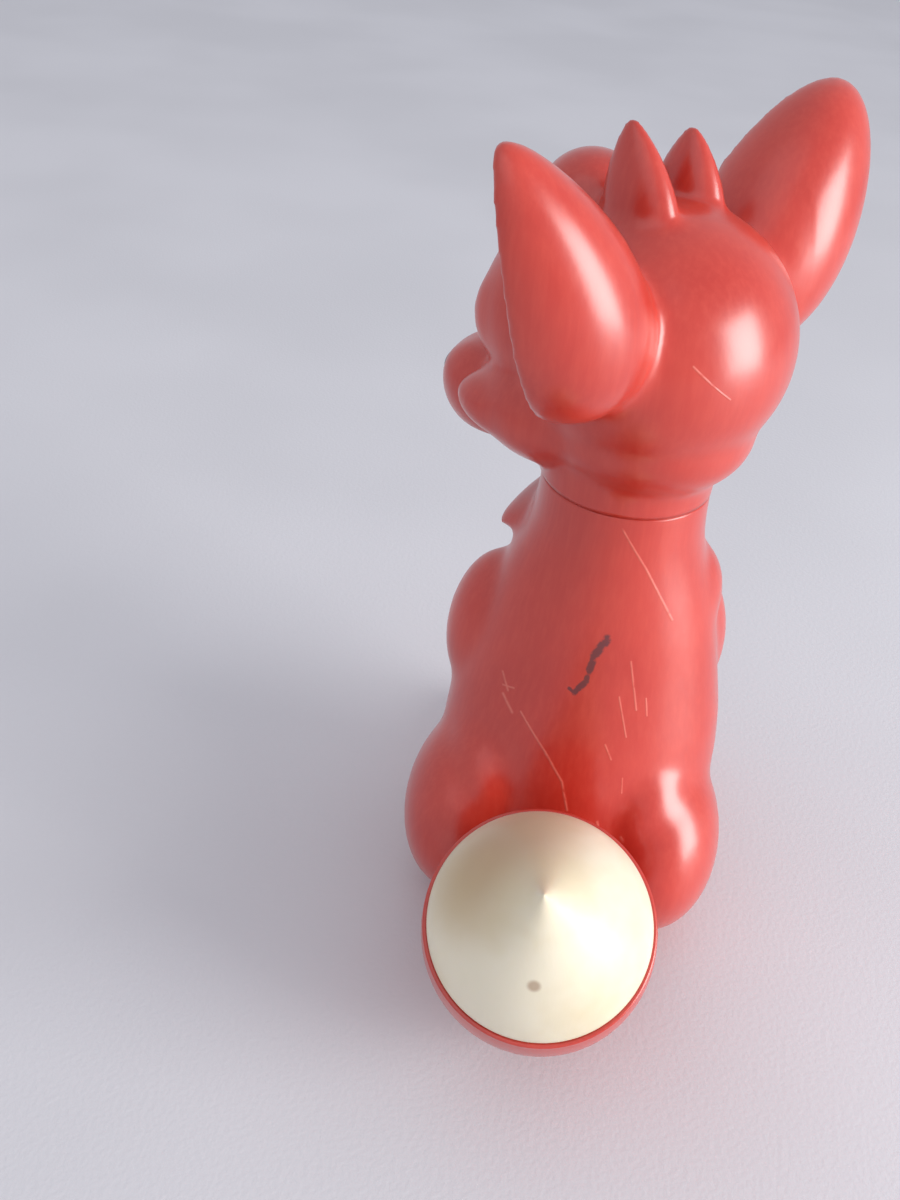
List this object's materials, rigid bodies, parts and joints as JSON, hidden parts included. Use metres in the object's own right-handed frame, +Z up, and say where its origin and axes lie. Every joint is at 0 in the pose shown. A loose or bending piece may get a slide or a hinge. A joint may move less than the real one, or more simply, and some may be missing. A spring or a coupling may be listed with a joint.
{
  "type": "squeeze toy animal",
  "caption": "Hollow soft vinyl squeeze toy: a seated fox with a turning head, a plugged-in tail with a pale tip, and a reed squeaker in the sole.",
  "frame": {"origin": "on the floor, under the axis that the head turns on", "axes": "+Z up along the neck axis; the chest faces -Y and the tail is on the +Y side; the left side of the fox is +X"},
  "size_m": [0.0734, 0.1176, 0.1613],
  "materials": {
    "red_vinyl": "semi-gloss soft vinyl",
    "cream_vinyl": "semi-gloss soft vinyl, sprayed cream",
    "eye_white": "gloss",
    "black_gloss": "gloss",
    "squeaker_white": "natural polythene, satin",
    "reed_brass": "thin rolled strip"
  },
  "bodies": {
    "torso": {"body_shell": "red_vinyl", "tail_brush": "red_vinyl", "tail_tip": "cream_vinyl", "squeaker_cup": "squeaker_white", "reed_plate": "squeaker_white", "reed_clamp": "squeaker_white", "squeaker_lid": "squeaker_white"},
    "head": {"head_shell": "red_vinyl", "eye_left": "eye_white", "eye_right": "eye_white", "pupil_left": "black_gloss", "pupil_right": "black_gloss", "nose_button": "black_gloss"},
    "reed_tongue": {"reed": "reed_brass"}
  },
  "joints": [
    {"name": "neck_swivel", "type": "hinge", "parent": "torso", "child": "head", "pos_m": [0, 0, 0.096], "axis": [0, 0, 1], "continuous": true},
    {"name": "reed_flutter", "type": "hinge", "parent": "torso", "child": "reed_tongue", "pos_m": [0, 0.0029, 0.0096], "axis": [1, 0, 0], "range_deg": [-4, 4], "stiffness_Nm_per_rad": 0.0001}
  ]
}
